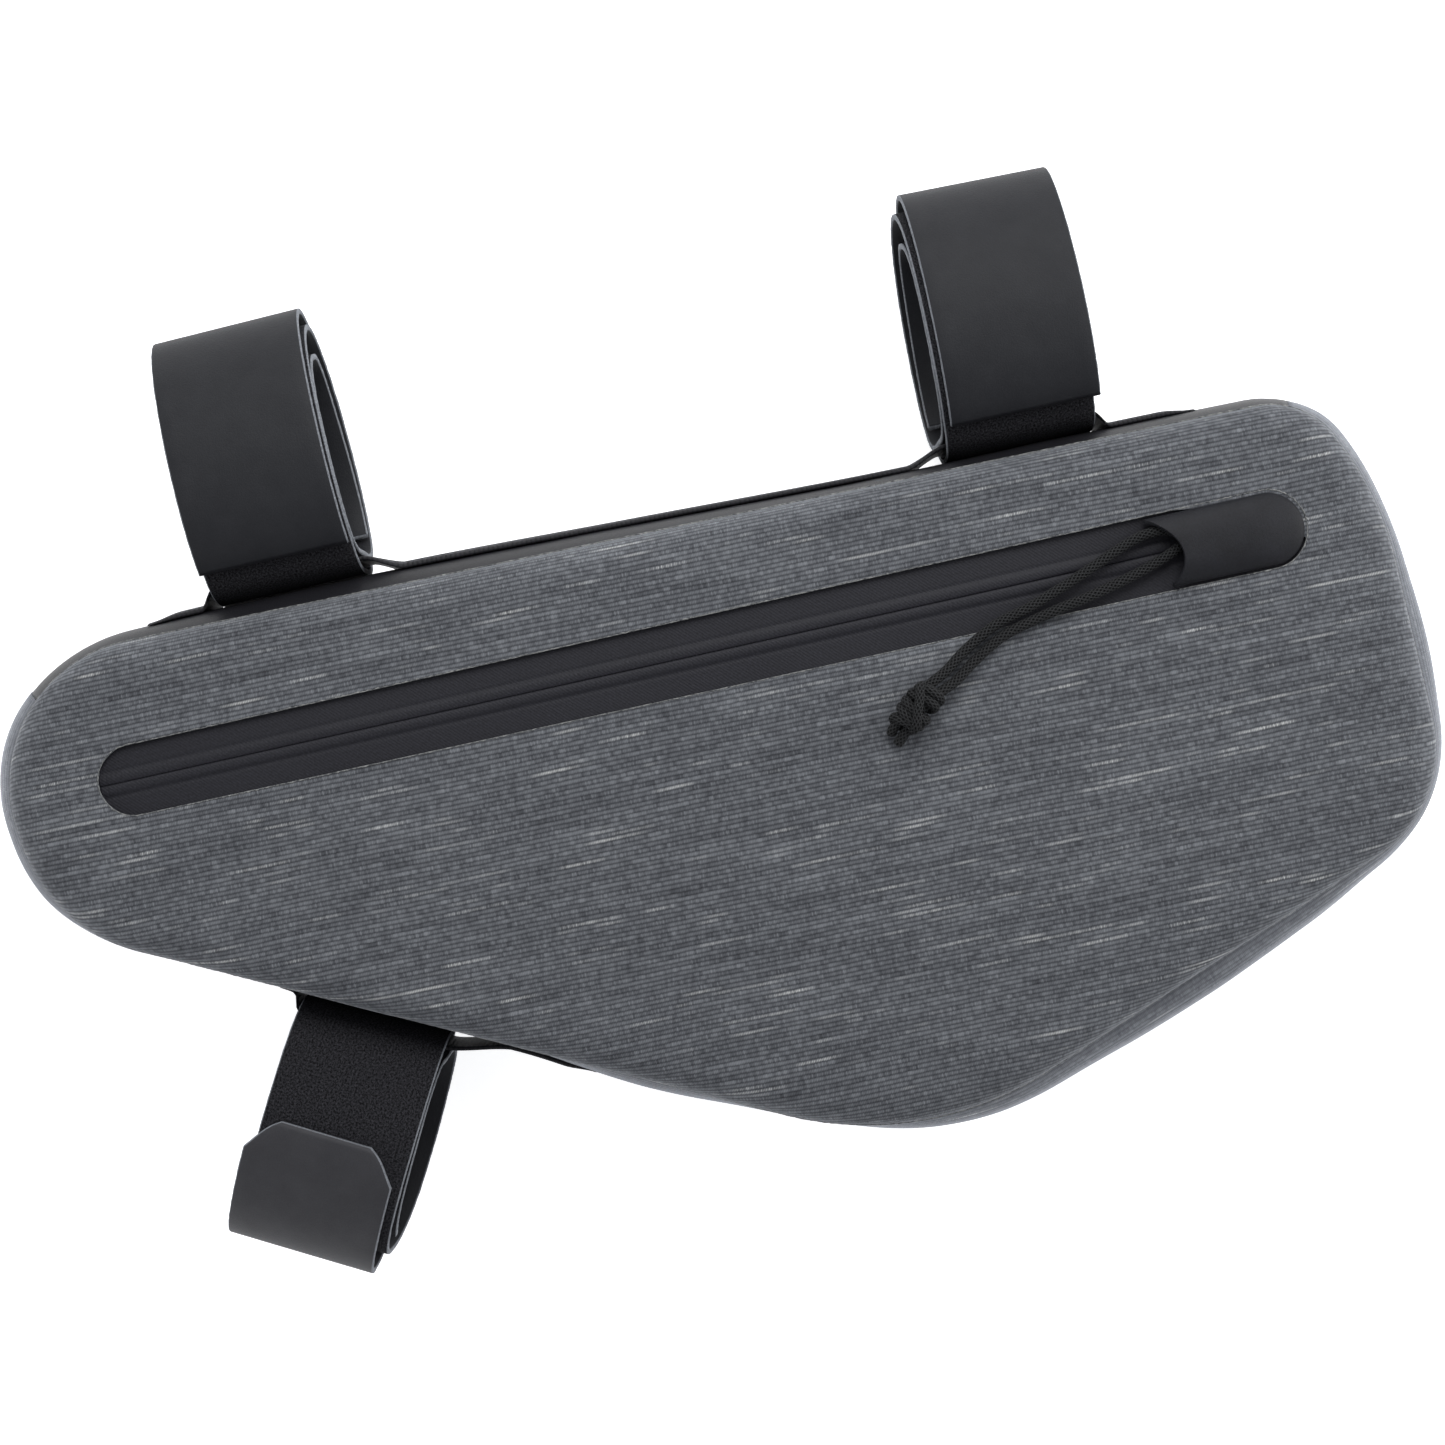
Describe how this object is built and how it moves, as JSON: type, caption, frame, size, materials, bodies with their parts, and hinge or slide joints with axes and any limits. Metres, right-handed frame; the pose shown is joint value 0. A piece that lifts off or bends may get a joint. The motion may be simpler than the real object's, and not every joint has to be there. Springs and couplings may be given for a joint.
{
  "type": "bicycle frame bag",
  "caption": "Flat half-frame bicycle bag in ribbed grey cloth, with a long coated zip, a knotted pull cord and three wound hook-and-loop tube straps.",
  "frame": {"origin": "on the back panel's flat outer face, near the middle of the bag's outline", "axes": "+X along the top tube edge from the narrow nose to the deep tail, +Y across the face towards the top tube, +Z out of the zipped face"},
  "size_m": [0.3872, 0.2623, 0.0675],
  "materials": {
    "slub_cloth": "ribbed slub weave, matt",
    "coated_black": "black coated cloth, satin",
    "zip_film": "film-coated zip tape, matt",
    "strap_rubber": "leather-faced hook-and-loop strap, matt",
    "cord_black": "braided cord",
    "slider_metal": "black lacquered zinc"
  },
  "bodies": {
    "root": {"front_panel": "slub_cloth", "back_panel": "slub_cloth", "gusset_top": "coated_black", "gusset_wrap": "slub_cloth", "zip_tape_upper": "zip_film", "zip_tape_lower": "zip_film", "zip_garage": "coated_black", "zip_slider": "slider_metal", "pull_cord_upper": "cord_black", "pull_cord_lower": "cord_black", "pull_cord_knot": "cord_black", "top_daisy_strip": "coated_black", "down_daisy_strip": "coated_black", "strap_top_nose": "strap_rubber", "strap_top_tail": "strap_rubber", "strap_down_tube": "strap_rubber"}
  },
  "joints": []
}
